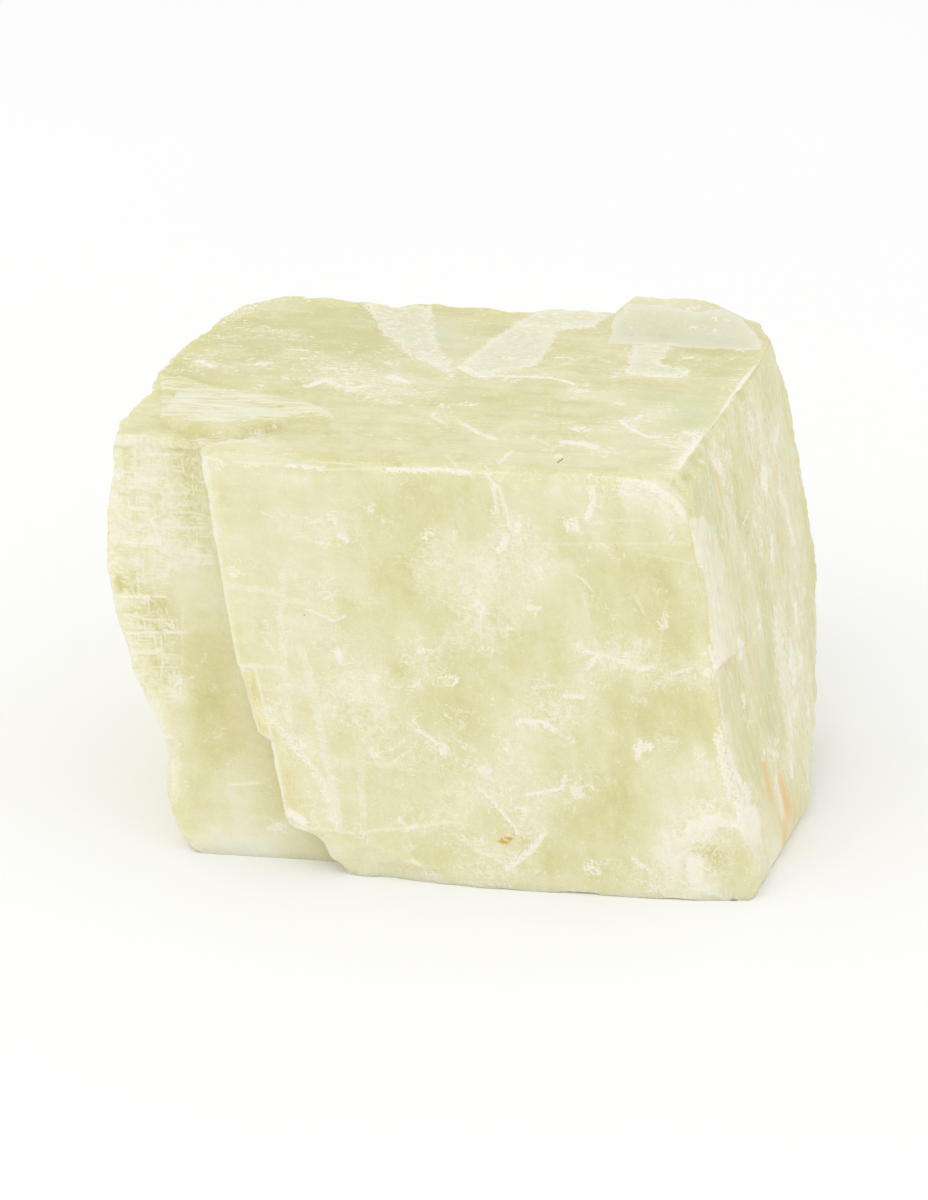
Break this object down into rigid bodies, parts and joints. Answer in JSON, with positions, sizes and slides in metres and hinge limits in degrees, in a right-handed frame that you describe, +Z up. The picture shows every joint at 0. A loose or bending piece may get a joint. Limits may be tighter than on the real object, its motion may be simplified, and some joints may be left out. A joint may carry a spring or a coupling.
{
  "type": "calcite specimen",
  "caption": "Hand-size block of milky yellow-green calcite, broken along its cleavage, with stepped ledges and chipped corners, resting on a flat cleaved base.",
  "frame": {"origin": "middle of the bounding box's footprint, on the plane of the flat cleaved base", "axes": "+X along the long top front edge, towards the blunt corner; +Y from the large front cleavage face towards the back; +Z up, square to the base and to the top cleavage face"},
  "size_m": [0.078, 0.0624, 0.0464],
  "materials": {
    "calcite": "milky and see-into, satin on the cleavage faces, matt where crushed"
  },
  "bodies": {
    "root": {"calcite_block": "calcite"}
  },
  "joints": []
}
